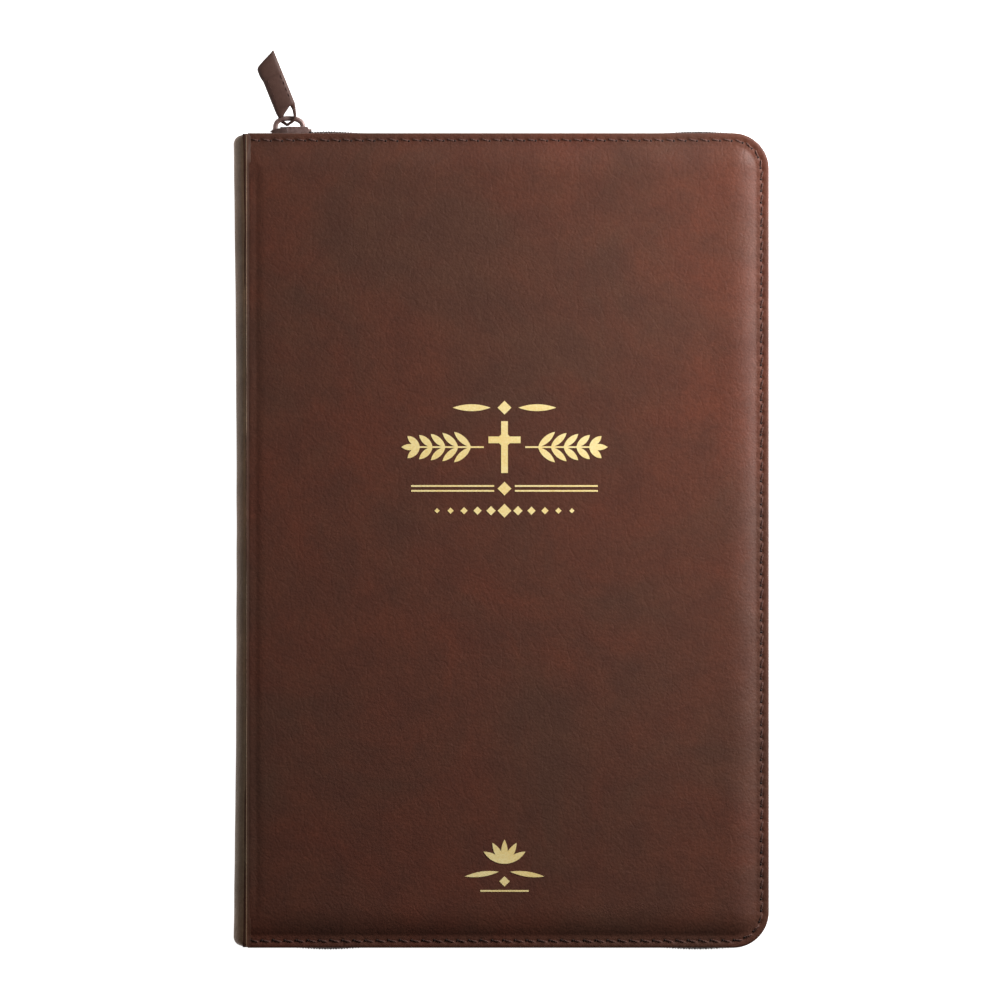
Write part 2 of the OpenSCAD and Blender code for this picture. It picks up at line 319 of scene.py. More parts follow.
def piece(name, verts, faces, material, smooth=True):
    mesh = bpy.data.meshes.new(name)
    mesh.from_pydata([tuple(v) for v in verts], [], faces)
    mesh.materials.append(material)
    mesh.update()
    work = bmesh.new()
    work.from_mesh(mesh)
    bmesh.ops.recalc_face_normals(work, faces=work.faces)
    work.to_mesh(mesh)
    work.free()
    for face in mesh.polygons:
        face.use_smooth = smooth
    made = bpy.data.objects.new(name, mesh)
    bpy.context.scene.collection.objects.link(made)
    return made


def loft(rows, closed=False, first=0):
    """Quads between equal-length rows of points; closed rows run round."""
    count = len(rows[0])
    faces = []
    for r in range(len(rows) - 1):
        for i in range(count if closed else count - 1):
            j = (i + 1) % count
            a, b = first + r * count, first + (r + 1) * count
            faces.append((a + i, a + j, b + j, b + i))
    return faces


def flat(rows):
    return [p for row in rows for p in row]


def ring_lid(row, first, reverse=False):
    """One face that closes a row of points."""
    face = [first + i for i in range(len(row))]
    return [tuple(reversed(face)) if reverse else tuple(face)]


def mirrored_z(points):
    return [(x, y, TOP_Z - z) for x, y, z in points]


def swell(x, y, z, scale, depth):
    """A soft, uneven rise and fall, as leather over wadding has."""
    return depth * noise.noise(Vector((x, y, z)) * scale)


# ---------------------------------------------------------------- outlines

HEAD_STITCHES = 42
CORNER_STITCHES = 4
SIDE_STITCHES = 64
SPINE_STEPS = 40
COVER_LIP = 0.9 * MM


def straight(start, end, count):
    """Points from start up to end, without the end itself."""
    (ax, ay), (bx, by) = start, end
    return [(ax + (bx - ax) * i / count, ay + (by - ay) * i / count) for i in range(count)]


def bend(cx, cy, radius, from_angle, count):
    """Points round a quarter circle, without its end."""
    return [(cx + radius * math.cos(from_angle + math.pi / 2 * i / count),
             cy + radius * math.sin(from_angle + math.pi / 2 * i / count)) for i in range(count)]


def cover_path(inset, x0, steps=STITCH_STEPS):
    """From the spine along the tail, round the fore-edge and back along the head.

    Every inset has the same number of points, so that rows at different insets join up."""
    x1, half = EDGE_X - inset, HALF_H - inset
    r = max(CORNER_R - inset, 0.4 * MM)
    path = straight((x0, -half), (x1 - r, -half), HEAD_STITCHES * steps)
    path += bend(x1 - r, r - half, r, -math.pi / 2, CORNER_STITCHES * steps)
    path += straight((x1, r - half), (x1, half - r), SIDE_STITCHES * steps)
    path += bend(x1 - r, half - r, r, 0, CORNER_STITCHES * steps)
    path += straight((x1 - r, half), (x0, half), HEAD_STITCHES * steps)
    return path + [(x0, half)]


def cover_ring(inset):
    """The cover's whole outline, its lip beside the groove a little nearer the spine than the rest."""
    x0 = COVER_X + max(inset - FLANGE_W, 0) * 0.5 - COVER_LIP * max(1 - inset / FLANGE_W, 0)
    path = cover_path(inset, x0)
    return path + straight(path[-1], path[0], SPINE_STEPS)[1:]


# ---------------------------------------------------------------- padded covers

RISE_FROM = FLANGE_W - 0.9 * MM
RISE_POWER = 2.6
HINGE_RISE = 8 * MM
# The rim's rows as (inset, drop below the flange), then the insets of the rows above it, in mm.
RIM = [(4.4, -1.0), (1.0, -1.0), (0.3, -0.9), (0.04, -0.65), (0.0, -0.4), (0.1, -0.16), (0.4, -0.02)]
TOPS = [0.9, 1.3, 1.6, 1.85, 2.0, 2.15, 2.4, 2.8, 3.3, 3.8, 4.3, 4.8, 5.4, 6.1, 6.9, 7.8, 8.8, 10,
        11.3, 13]
CROWN_RINGS = 15


def puff_height(inset):
    """Height of the leather above the flange, over the wadding."""
    t = min(max((inset - RISE_FROM) / (RISE_END - RISE_FROM), 0), 1)
    return (CROWN_Z - FLANGE_Z) * (1 - (1 - t) ** RISE_POWER)


def stitch_dent(inset, index, stitched):
    """The leather sinks along the row of stitches, and more where a thread goes through."""
    if index > stitched:
        return 0
    off = (inset - STITCH_IN) / (0.5 * MM)
    phase = (index % STITCH_STEPS) / STITCH_STEPS
    hole = 0.3 * math.exp(-((phase - 0.02) / 0.16) ** 2) + 0.3 * math.exp(-((phase - 1.02) / 0.16) ** 2)
    return -(0.07 + hole) * MM * math.exp(-off * off)


def hinge_side(inset, y, index, stitched):
    """Beside the groove the leather is already raised by the wadding under it."""
    return inset if index < stitched else max(inset, min(HALF_H - abs(y), HINGE_RISE))


def cover_rows():
    """Closed rows from the rim's underside over the flange and the rise to the middle of the crown."""
    stitched = len(cover_path(0, 0))
    rows = []
    for inset, drop in RIM:
        rows.append([(x, y, FLANGE_Z + drop * MM) for x, y in cover_ring(inset * MM)])
    for inset in TOPS:
        d = inset * MM
        row = []
        for i, (x, y) in enumerate(cover_ring(d)):
            z = FLANGE_Z + puff_height(hinge_side(d, y, i, stitched)) + stitch_dent(d, i, stitched)
            fade = min(d / (8 * MM), 1) * (1 - 0.75 * min(max(d - 9 * MM, 0) / (4 * MM), 1))
            if i >= stitched:
                fade *= min(max(d - 6 * MM, 0) / (4 * MM), 1)
                from_end = min((HALF_H - abs(y)) / HINGE_RISE, 1)
                z -= 0.25 * MM * max(1 - d / FLANGE_W, 0) ** 2 * from_end
            row.append((x, y, z + fade * swell(x, y, z, 55, 0.22 * MM)))
        rows.append(row)
    last = rows[-1]
    cx = sum(p[0] for p in last) / len(last)
    for k in range(1, CROWN_RINGS):
        s = (1 - k / CROWN_RINGS) ** 1.15
        row = []
        for x, y, _ in last:
            px, py = cx + (x - cx) * s, y * s
            row.append((px, py, CROWN_Z - 0.04 * MM + swell(px, py, 0, 40, 0.05 * MM)))
        rows.append(row)
    return rows


def make_cover(name, body, at_back):
    """The padded leather of one cover, in one piece with its turned rim."""
    rows = cover_rows()
    faces = loft(rows, closed=True)
    faces += ring_lid(rows[-1], (len(rows) - 1) * len(rows[0]))
    points = flat(rows)
    if at_back:
        points = [(x, y, max(z, 0)) for x, y, z in mirrored_z(points)]
    made = piece(f"{name}_skin", points, faces, COVER_LEATHER)
    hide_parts(f"{name}_leather", f"{name}_padding")
    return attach(made, body)


# ---------------------------------------------------------------- stitches

THREAD_SECTIONS = ((0, 0.25, -0.9), (0.08, 0.75, -0.35), (0.25, 1, 0.35), (0.5, 1.05, 0.6),
                   (0.75, 1, 0.35), (0.92, 0.75, -0.35), (1, 0.25, -0.9))
THREAD_R = 0.22 * MM
NEEDLE_R = 0.3 * MM


def around(count):
    """Even angles round a circle."""
    return (2 * math.pi * k / count for k in range(count))


def capsule(start, end, radius, sides=7, lift=0.0, up=UP):
    """A thread from start to end that stands proud in the middle and dives at both ends."""
    start, end = Vector(start), Vector(end)
    along = (end - start).normalized()
    side = along.cross(up).normalized()
    rows = []
    for t, size, rise in THREAD_SECTIONS:
        middle = start.lerp(end, t) + up * (rise * radius + lift)
        rows.append([middle + (side * math.cos(a) + up * math.sin(a)) * radius * size
                     for a in around(sides)])
    return rows


def collect(parts):
    """One list of points and faces from many closed lofts."""
    verts, faces = [], []
    for rows in parts:
        first = len(verts)
        verts += flat(rows)
        faces += loft(rows, True, first)
        faces += ring_lid(rows[0], first, True)
        faces += ring_lid(rows[-1], first + (len(rows) - 1) * len(rows[0]))
    return verts, faces


def make_stitches(name, body, at_back):
    """Short threads, each a little aslant, along the flange, and dark capsules at the needle holes they
    start in, painted as the holes' shade.
    """
    path = cover_path(STITCH_IN, COVER_X - 0.5 * MM)
    parts, pits = [], []
    for i in range(0, len(path) - STITCH_STEPS, STITCH_STEPS):
        a, b = Vector((*path[i], FLANGE_Z)), Vector((*path[i + STITCH_STEPS], FLANGE_Z))
        along = (b - a).normalized()
        out = Vector((along.y, -along.x, 0))
        slant = (0.26 + random.uniform(-0.05, 0.05)) * MM
        a += along * 0.55 * MM - out * slant
        b += out * slant - along * 0.55 * MM
        parts.append(capsule(a, b, THREAD_R, lift=-0.06 * MM))
        # each needle hole gets a dark capsule, a painted shade
        hole_start, hole_end = a - along * 0.5 * MM, a + along * 0.15 * MM
        pits.append(capsule(hole_start, hole_end, NEEDLE_R, lift=-0.27 * MM))
    for made_of, material, label in ((parts, THREAD, "stitches"), (pits, PAINTED_HOLE_SHADE, "hole_shade_marks")):
        verts, faces = collect(made_of)
        if at_back:
            verts = mirrored_z(verts)
        made = piece(f"{name}_{label}", verts, faces, material)
        if made_of is parts:
            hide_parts(f"{name}_stitching")
        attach(made, body)


# ---------------------------------------------------------------- spine

SPINE_T = 1.1 * MM
SPINE_WAIST = 1.0 * MM
SPINE_HOLLOW = 0.45 * MM
SPINE_CORNER = 2.9 * MM
CARD_BEHIND = 1.35 * MM
CARD_T = 0.8 * MM
RULE_W = 1 * MM
RULE_GAP = 3 * MM
FOIL_PROUD = 0.04 * MM


def spine_profile(inset):
    """The rolled spine seen from its end, from the front lip round to the back lip."""
    r = SPINE_R - inset
    cx = SPINE_X + SPINE_R
    points = [(LIP_X - 0.05 * MM, TOP_Z - inset - 0.25 * MM), (LIP_X - 0.35 * MM, TOP_Z - inset)]
    for k in range(13):
        a = math.pi / 2 + math.pi / 2 * k / 12
        points.append((cx + r * math.cos(a), TOP_Z - SPINE_R + r * math.sin(a)))
    for k in range(1, 16):
        t = k / 16
        x = SPINE_X + inset + SPINE_HOLLOW * math.sin(math.pi * t)
        points.append((x, TOP_Z - SPINE_R - (TOP_Z - 2 * SPINE_R) * t))
    mirror = [(x, TOP_Z - z) for x, z in reversed(points[:15])]
    return points + mirror


def spine_waist(y):
    """How far the spine is drawn in between its head and tail."""
    return SPINE_WAIST * max(math.cos(math.pi * y / (2 * HALF_H)), 0) ** 0.8


def spine_swell(y, z):
    return swell(0, y, z, 90, 0.12 * MM)


def make_spine():
    """The spine's leather, drawn in at the middle and turned in at head and tail."""
    outer = spine_profile(0)
    inner = list(reversed(spine_profile(SPINE_T)))
    half = HALF_H - 0.4 * MM
    steps, middle = 18, 130
    turn_in = [SPINE_CORNER * (1 - math.cos(math.pi / 2 * k / steps)) - half for k in range(steps)]
    straight_part = [(SPINE_CORNER - half) * (1 - 2 * k / middle) for k in range(middle + 1)]
    rows = []
    for y in turn_in + straight_part + [-y for y in reversed(turn_in)]:
        end = half - abs(y)
        tuck = 0.5 * MM * (1 - min(end / (1.2 * MM), 1)) ** 2
        waist = spine_waist(y)
        short = max(SPINE_CORNER - end, 0)
        turn = SPINE_CORNER - math.sqrt(SPINE_CORNER ** 2 - short ** 2)
        row = []
        for n, (x, z) in enumerate(outer + inner):
            near = min(max((LIP_X - x) / SPINE_R, 0), 1)
            sink = tuck if n < len(outer) else -0.1 * tuck
            side = 1 if z > MID_Z else -1
            wobble = spine_swell(y, z) * near
            x += near * (waist + turn) + sink * near + wobble
            row.append((x, y, z - side * sink * (1 - near)))
        rows.append(row)
    verts, faces = collect([rows])
    # the lighter spine leather here is a painted sheen
    made = piece("spine_skin", verts, faces, SPINE_LEATHER_PAINTED_SHEEN)
    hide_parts("spine_leather")
    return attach(made, "spine")


def spine_hollow(z):
    """How far the spine's face is pressed in between its two rolled edges."""
    t = min(max((z - SPINE_R) / (TOP_Z - 2 * SPINE_R), 0), 1)
    return SPINE_HOLLOW * math.sin(math.pi * t)


def make_spine_card():
    """The card behind the spine leather, drawn in with it."""
    low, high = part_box("spine_card")
    rows = []
    for k in range(61):
        y = low[1] + (high[1] - low[1]) * k / 60
        levels = [low[2] + (high[2] - low[2]) * n / 16 for n in range(17)]
        face = [(SPINE_X + CARD_BEHIND + spine_waist(y) + spine_hollow(z), y, z) for z in levels]
        rows.append(face + [(x + CARD_T, y, z) for x, y, z in reversed(face)])
    verts, faces = collect([rows])
    made = piece("spine_card_strip", verts, faces, GREY_BOARD, smooth=False)
    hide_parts("spine_card")
    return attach(made, "spine")


def make_spine_foil():
    """Gold rules stamped across the spine, following its curve."""
    low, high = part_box("spine_foil")
    last = high[1] - RULE_W
    starts = (low[1], low[1] + RULE_GAP, last - RULE_GAP, last)
    parts = []
    for start in starts:
        rows = []
        for k in range(25):
            z = low[2] + (high[2] - low[2]) * k / 24
            y = start + RULE_W / 2
            x = SPINE_X + spine_hollow(z)
            near = min((LIP_X - x) / SPINE_R, 1)
            x += near * (spine_waist(y) + spine_swell(y, z))
            face, back = x - FOIL_PROUD, x + 0.3 * MM
            rows.append([(face, start, z), (face, start + RULE_W, z),
                         (back, start + RULE_W, z), (back, start, z)])
        parts.append(rows)
    verts, faces = collect(parts)
    made = piece("spine_gold_rules", verts, faces, FOIL, smooth=False)
    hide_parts("spine_foil")
    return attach(made, "spine")


# Round the groove leather: distance from the spine's lip, height at mid-length and at the ends, in mm.
JOINT_SECTION = [
    (-1.15, 41.74, 41.74), (-0.9, 41.91, 41.91), (-0.6, 41.97, 41.96), (-0.35, 42.01, 41.98),
    (-0.1, 41.95, 41.6), (0.2, 41.8, 41.1), (0.5, 41.67, 40.7), (0.8, 41.58, 40.5),
    (1.0, 41.48, 40.42), (1.3, 41.25, 40.3), (1.3, 40.9, 39.9), (0.8, 40.8, 39.8),
    (0.1, 40.6, 40.1), (-0.4, 40.9, 40.6), (-1.15, 41.4, 41.3),
]


def make_joint(name, at_back):
    """The leather that dips into the groove beside the spine, lower over the flange at each end, in a
    darker leather that is painted shade.
    """
    half = HALF_H - 0.2 * MM
    rows = []
    for k in range(161):
        y = -half * math.cos(math.pi * k / 160)
        end = 0.25 * MM * (1 - min((half - abs(y)) / (1.0 * MM), 1))
        raised = puff_height(min(HALF_H - abs(y), HINGE_RISE)) / puff_height(HINGE_RISE)
        lean = 0.35 * spine_waist(y)
        row = []
        for dx, middle_z, end_z in JOINT_SECTION:
            z = (end_z + (middle_z - end_z) * raised) * MM - end
            z += swell(dx, y, 3, 70, 0.06 * MM) * raised
            row.append((LIP_X + dx * MM + lean * max(0, 0.6 - dx), y, z))
        rows.append(row)
    points, faces = collect([rows])
    if at_back:
        points = mirrored_z(points)
    # the groove strip uses the darker leather, a painted shade
    made = piece(f"{name}_joint", points, faces, JOINT_LEATHER_PAINTED_SHADE)
    z = 0.001 if at_back else TOP_Z - 0.001
    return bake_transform(made)


# ---------------------------------------------------------------- zip

TAPE_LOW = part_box("front_zip_tape")[0]
COIL_LOW, COIL_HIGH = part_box("front_zip_coil")
ZIP_STEPS = 3
TAPE_INSET = 1.65 * MM
TAPE_T = 0.5 * MM
TAPE_BOW = 0.55 * MM
TAPE_LEVELS = 10
COIL_PITCH = 1.6 * MM
COIL_INSET = 0.85 * MM
COIL_WIRE_R = 0.27 * MM
COIL_HALF_DEPTH = 0.5 * MM
COIL_HALF_HEIGHT = 1.35 * MM
COIL_TURN_STEPS = 12
STOP_LEVELS = (0, 0.12, 0.3, 0.5, 0.7, 0.88, 1)


def zip_path(inset, x0):
    return cover_path(inset, x0, ZIP_STEPS)


def make_tape(name, body, at_back):
    """Woven tape from the coil to the cover's flange, bowed out a little in the middle."""
    height = FLANGE_Z - LEATHER_T - TAPE_LOW[2] + 0.3 * MM
    outer, inner = [], []
    for k in range(TAPE_LEVELS + 1):
        t = k / TAPE_LEVELS
        z = TAPE_LOW[2] - 0.2 * MM + height * t
        bow = TAPE_BOW * math.sin(math.pi * t)
        outer.append([(x, y, z + swell(x, y, 9, 80, 0.06 * MM))
                      for x, y in zip_path(TAPE_INSET - bow, TAPE_LOW[0])])
        level = outer[-1][0][2]
        inner.append([(x, y, level) for x, y in zip_path(TAPE_INSET + TAPE_T - bow, TAPE_LOW[0])])
    shell = outer + inner[::-1]
    count = len(shell[0])
    points = flat(shell)
    faces = loft(shell)
    last = (len(shell) - 1) * count
    faces += [(i, i + 1, last + i + 1, last + i) for i in range(count - 1)]
    faces.append(tuple(r * count for r in range(len(shell))))
    faces.append(tuple(r * count + count - 1 for r in range(len(shell))))
    if at_back:
        points = mirrored_z(points)
    made = piece(f"{name}_tape_weave", points, faces, TAPE)
    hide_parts(f"{name}_zip_tape")
    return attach(made, body)


def resample(path, spacing):
    """Points an even distance apart along a path, with the outward direction at each."""
    out = []
    left = 0.0
    for (ax, ay), (bx, by) in zip(path, path[1:]):
        length = math.hypot(bx - ax, by - ay)
        if length < 1e-9:
            continue
        tx, ty = (bx - ax) / length, (by - ay) / length
        at = left
        while at < length:
            out.append((ax + tx * at, ay + ty * at, ty, -tx))
            at += spacing
        left = at - length
    return out


def bulge(x, y):
    """The chain stands out a little beside the corner and near the spine, at head and tail."""
    if abs(y) < HALF_H - 5 * MM:
        return 0
    near_corner = math.exp(-((x - 57 * MM) / (12 * MM)) ** 2)
    near_spine = math.exp(-((x + 50 * MM) / (11 * MM)) ** 2)
    return 0.92 * MM * max(near_corner, near_spine)


def make_coil(name, body, at_back):
    """A monofilament wound along the tape's edge, its heads reaching the other row's."""
    centres = resample(zip_path(COIL_INSET, COIL_LOW[0]), COIL_PITCH / COIL_TURN_STEPS)
    z_mid = (COIL_LOW[2] + COIL_HIGH[2]) / 2 - 0.25 * MM
    rows = []
    for n, (x, y, ox, oy) in enumerate(centres):
        a = 2 * math.pi * (n / COIL_TURN_STEPS + (0.5 if at_back else 0))
        out = COIL_HALF_DEPTH * math.cos(a) + bulge(x, y)
        rise = COIL_HALF_HEIGHT * math.sin(a)
        centre = Vector((x + ox * out, y + oy * out, z_mid + rise))
        turn = (Vector((ox, oy, 0)) * math.cos(a) + UP * math.sin(a)).normalized()
        along = Vector((-oy, ox, 0))
        rows.append([centre + (turn * math.cos(b) + along * math.sin(b)) * COIL_WIRE_R
                     for b in around(6)])
    verts, faces = collect([rows])
    if at_back:
        verts = mirrored_z(verts)
    made = piece(f"{name}_coil_wire", verts, faces, COIL)
    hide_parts(f"{name}_zip_coil")
    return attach(made, body)


def make_tape_sewing(name, body, at_back):
    """The row of lock stitches that holds the coil on the tape."""
    steps = resample(zip_path(0.95 * MM, TAPE_LOW[0] + 3 * MM), COIL_PITCH)
    z = COIL_HIGH[2] + 0.9 * MM
    parts = []
    for (ax, ay, ox, oy), (bx, by, _, _) in zip(steps, steps[1:]):
        out = Vector((ox, oy, 0))
        a, b = Vector((ax, ay, z)), Vector((bx, by, z))
        a, b = a.lerp(b, 0.12), b.lerp(a, 0.12)
        parts.append(capsule(a, b, 0.16 * MM, 5, -0.55 * MM, out))
    verts, faces = collect(parts)
    if at_back:
        verts = mirrored_z(verts)
    made = piece(f"{name}_tape_sewing", verts, faces, THREAD)
    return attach(made, body)


def squared(value):
    """Fills a circle's sine or cosine out towards a rounded square."""
    return math.copysign(abs(value) ** 0.5, value)


def make_stops(name, body):
    """Small clips pressed over the ends of the coil."""
    low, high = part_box(f"{name}_zip_stops")
    z_mid = (low[2] + high[2]) / 2
    parts = []
    for side in (-1, 1):
        y = side * (high[1] - 0.7 * MM)
        rows = []
        for t in STOP_LEVELS:
            squeeze = 1 - 0.35 * (abs(2 * t - 1) ** 6) - 0.12 * math.sin(math.pi * t)
            x = low[0] + (high[0] - low[0]) * t
            rows.append([(x, y + 0.8 * MM * squeeze * squared(math.cos(a)),
                          z_mid + 1.35 * MM * squeeze * squared(math.sin(a))) for a in around(16)])
        parts.append(rows)
    verts, faces = collect(parts)
    made = piece(f"{name}_stop_clips", verts, faces, METAL)
    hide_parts(f"{name}_zip_stops")
    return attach(made, body)


# ---------------------------------------------------------------- slider and pull

SLIDER_LOW, SLIDER_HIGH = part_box("slider_body")
BAIL_LOW, BAIL_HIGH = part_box("slider_bail")
BAIL_R = 0.65 * MM


def prism(outline, low, high, place):
    """A solid from an outline; place turns (u, v, w) into a point."""
    bottom = [place(u, v, low) for u, v in outline]
    top = [place(u, v, high) for u, v in outline]
    return [bottom, top]


def bevelled(made, width):
    """Rounds the piece's sharp edges in its mesh."""
    step = made.modifiers.new("edge", "BEVEL")
    step.width = width
    step.segments = 3
    step.limit_method = "ANGLE"
    step.angle_limit = math.radians(35)
    bpy.context.view_layer.update()
    shaped = bpy.data.meshes.new_from_object(made.evaluated_get(bpy.context.evaluated_depsgraph_get()))
    made.modifiers.clear()
    made.data = shaped
    return made


def slider_outline(nose, tail, waist, half):
    """Seen along Y: a wedge-nosed plate, wider where the two rows of coil come in."""
    edge = [(nose, 0.62), (nose + 1.1 * MM, 0.92), (nose + 3 * MM, 1), (waist, 0.93),
            (tail - 0.8 * MM, 0.78), (tail, 0.6)]
    return [(x, -half * part) for x, part in edge] + [(x, half * part) for x, part in reversed(edge)]


def make_slider():
    """Two plates, a pair of rails at each end and a thin web between the rows of coil."""
    nose, tail = SLIDER_LOW[0], SLIDER_HIGH[0]
    half = (SLIDER_HIGH[2] - SLIDER_LOW[2]) / 2
    top_y = SLIDER_HIGH[1]
    upright = lambda u, v, w: (u, w, MID_Z + v)
    outline = slider_outline(nose, tail, (nose + tail) / 2, half)
    verts, faces = collect([
        prism(outline, top_y - 1.2 * MM, top_y - 0.25 * MM, upright),
        prism(outline, SLIDER_LOW[1], SLIDER_LOW[1] + 1.1 * MM, upright),
    ])
    ramp = 4.5 * MM
    for n, (x, y, z) in enumerate(verts):
        if y > top_y - 0.5 * MM:
            slope = max(0, (nose + ramp - x) / ramp)
            verts[n] = (x, y - 0.7 * MM * slope ** 1.5, z)
    plates = bevelled(piece("slider_plates", verts, faces, METAL_PAINTED_SHADE), 0.28 * MM)
    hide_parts("slider_body")
    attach(plates, "slider")

    along = lambda u, v, w: (u, v, MID_Z + w)
    rail_low = HALF_H - 1.0 * MM
    shoulder = nose + 5.2 * MM
    tail_rail = [(shoulder, rail_low), (tail - 1.5 * MM, rail_low), (tail - 0.6 * MM, top_y - 0.5 * MM),
                 (tail - 1.2 * MM, top_y + 0.4 * MM), (shoulder, top_y + 0.45 * MM)]
    nose_rail = [(nose + 1.0 * MM, rail_low), (shoulder, rail_low), (shoulder, top_y + 0.12 * MM),
                 (nose + 2.6 * MM, top_y - 0.05 * MM), (nose + 0.4 * MM, top_y - 0.65 * MM)]
    thin = 0.7 * MM
    rails = (("slider_crown", tail_rail, METAL), ("slider_rails", nose_rail, METAL_PAINTED_SHADE))
    for name, shape, look in rails:
        verts, faces = collect([prism(shape, -half, thin - half, along),
                                prism(shape, half - thin, half, along)])
        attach(bevelled(piece(name, verts, faces, look), 0.15 * MM), "slider")

    web_x, web_end, web_half = nose + 8.2 * MM, nose + 8.2 * MM + 2.4 * MM, 0.2 * MM
    web = [(web_x, -web_half), (web_end, -web_half), (web_end, web_half), (web_x, web_half)]
    verts, faces = collect([prism(web, SLIDER_LOW[1] + 0.5 * MM, top_y - 0.6 * MM, upright)])
    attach(bevelled(piece("slider_web", verts, faces, METAL_PAINTED_SHADE), 0.08 * MM), "slider")


def tube(points, radii):
    """A tube along points, each with its half width and half height."""
    rows = []
    for n, p in enumerate(points):
        before, after = points[max(n - 1, 0)], points[min(n + 1, len(points) - 1)]
        along = (Vector(after) - Vector(before)).normalized()
        side = along.cross(UP).normalized()
        top = side.cross(along).normalized()
        wide, high = radii[n]
        rows.append([Vector(p) + side * wide * math.cos(a) + top * high * math.sin(a)
                     for a in around(14)])
    return rows


def make_bail():
    """A half ring of wire with its feet staked in the slider."""
    low_y = BAIL_LOW[1] - 0.6 * MM
    cx = (BAIL_LOW[0] + BAIL_HIGH[0]) / 2
    r = (BAIL_HIGH[0] - BAIL_LOW[0]) / 2 - BAIL_R
    rise = BAIL_HIGH[1] - BAIL_R - BAIL_LOW[1]
    points = [(cx + r, low_y, MID_Z)]
    for k in range(25):
        a = math.pi * k / 24
        c, s = math.cos(a), math.sin(a)
        points.append((cx + r * math.copysign(abs(c) ** 0.85, c), BAIL_LOW[1] + rise * s ** 0.75, MID_Z))
    points.append((cx - r, low_y, MID_Z))
    foot, wire = (0.95 * MM, 0.6 * MM), (0.74 * MM, 0.6 * MM)
    verts, faces = collect([tube(points, [foot] + [wire] * (len(points) - 2) + [foot])])
    made = piece("bail_wire", verts, faces, METAL)
    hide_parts("slider_bail")
    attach(made, "slider")


LOOP_LOW, LOOP_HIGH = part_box("pull_loop")
LEAN = math.radians(22)
PIVOT = Vector(((LOOP_LOW[0] + LOOP_HIGH[0]) / 2, LOOP_HIGH[1] - 1.8 * MM, MID_Z))
STRAP_LENGTH = 15.4 * MM
STRAP_FORK = -1.5 * MM
STRAP_LEFT = -3.45
STRAP_RIGHT = 2.8 * MM
SHOULDER_LENGTH = 3 * MM
STRAP_STATIONS = 48
STRAP_ACROSS = 14
STRAND_HALF_HEIGHT = 0.48 * MM
STRAND_STEPS = 7
# Along the pull, left edge, right edge and thickness, in mm.
CHEEK_STATIONS = (
    (0.8, STRAP_LEFT, 2.7, 1.0), (-0.6, STRAP_LEFT, 2.6, 1.0), (-1.35, STRAP_LEFT, 1.15, 0.98),
    (-1.9, -3.44, 0.45, 0.9), (-2.5, -3.42, -0.45, 0.8), (-3.0, -3.3, -1.2, 0.7),
    (-3.5, -3.05, -1.7, 0.55),
)


def leaning(u, v, w=0.0):
    """u along the pull from its pivot, v to its right, w up."""
    sin, cos = math.sin(LEAN), math.cos(LEAN)
    return PIVOT + Vector((-sin * u + cos * v, cos * u + sin * v, w))


def eased(t):
    t = min(max(t, 0), 1)
    return t * t * (3 - 2 * t)


def strap_edges(u):
    """The strap widens a little past its folded-back ply and is cut on a slant with a round shoulder."""
    left = STRAP_LEFT * MM - 0.35 * MM * eased((u - 7.6 * MM) / (2.2 * MM))
    left += 0.4 * MM * eased((u - 11.4 * MM) / (1.3 * MM))
    shoulder = STRAP_LENGTH - SHOULDER_LENGTH
    if u > shoulder:
        cut = (u - shoulder) / SHOULDER_LENGTH
        left += (STRAP_RIGHT - left) * min(cut, 0.95) ** 1.15
    return left, STRAP_RIGHT


def strap_rise(t):
    """How far the strap's middle arches up, from one end (0) to the other (1)."""
    return 0.55 * MM * math.sin(math.pi * t) + 0.1 * MM


def strap_rows():
    """The strap from its fork to its slanted end, thinner past the folded ply."""
    rows = []
    for k in range(STRAP_STATIONS + 1):
        t = k / STRAP_STATIONS
        u = STRAP_FORK + (STRAP_LENGTH - STRAP_FORK) * t
        left, right = strap_edges(u)
        thick = (1.0 - 0.28 * eased((u - 8.2 * MM) / (0.6 * MM))) * MM
        thick *= 0.75 if k in (0, STRAP_STATIONS) else 1
        rows.append(strap_row(u, left, right, strap_rise(t), thick))
    return rows


def strap_row(u, left, right, rise, thick):
    """One outline across the strap, from its left edge over the top and back underneath."""
    row = []
    for face in (1, -1):
        for n in range(STRAP_ACROSS)[::face]:
            s = -1 + 2 * n / (STRAP_ACROSS - 1)
            body = (1 - abs(s) ** 8) ** 0.5
            v = (left + right) / 2 + (right - left) / 2 * s
            row.append(leaning(u, v, rise - 0.3 * MM * s * s + face * thick * (0.3 + 0.7 * body)))
    return row


def cheek_rows():
    """Below the fork the strap's left part narrows on a slant to the strand that rounds the bail."""
    return [strap_row(u * MM, left * MM, right * MM, 0.1 * MM, thick * MM * 0.97)
            for u, left, right, thick in CHEEK_STATIONS]


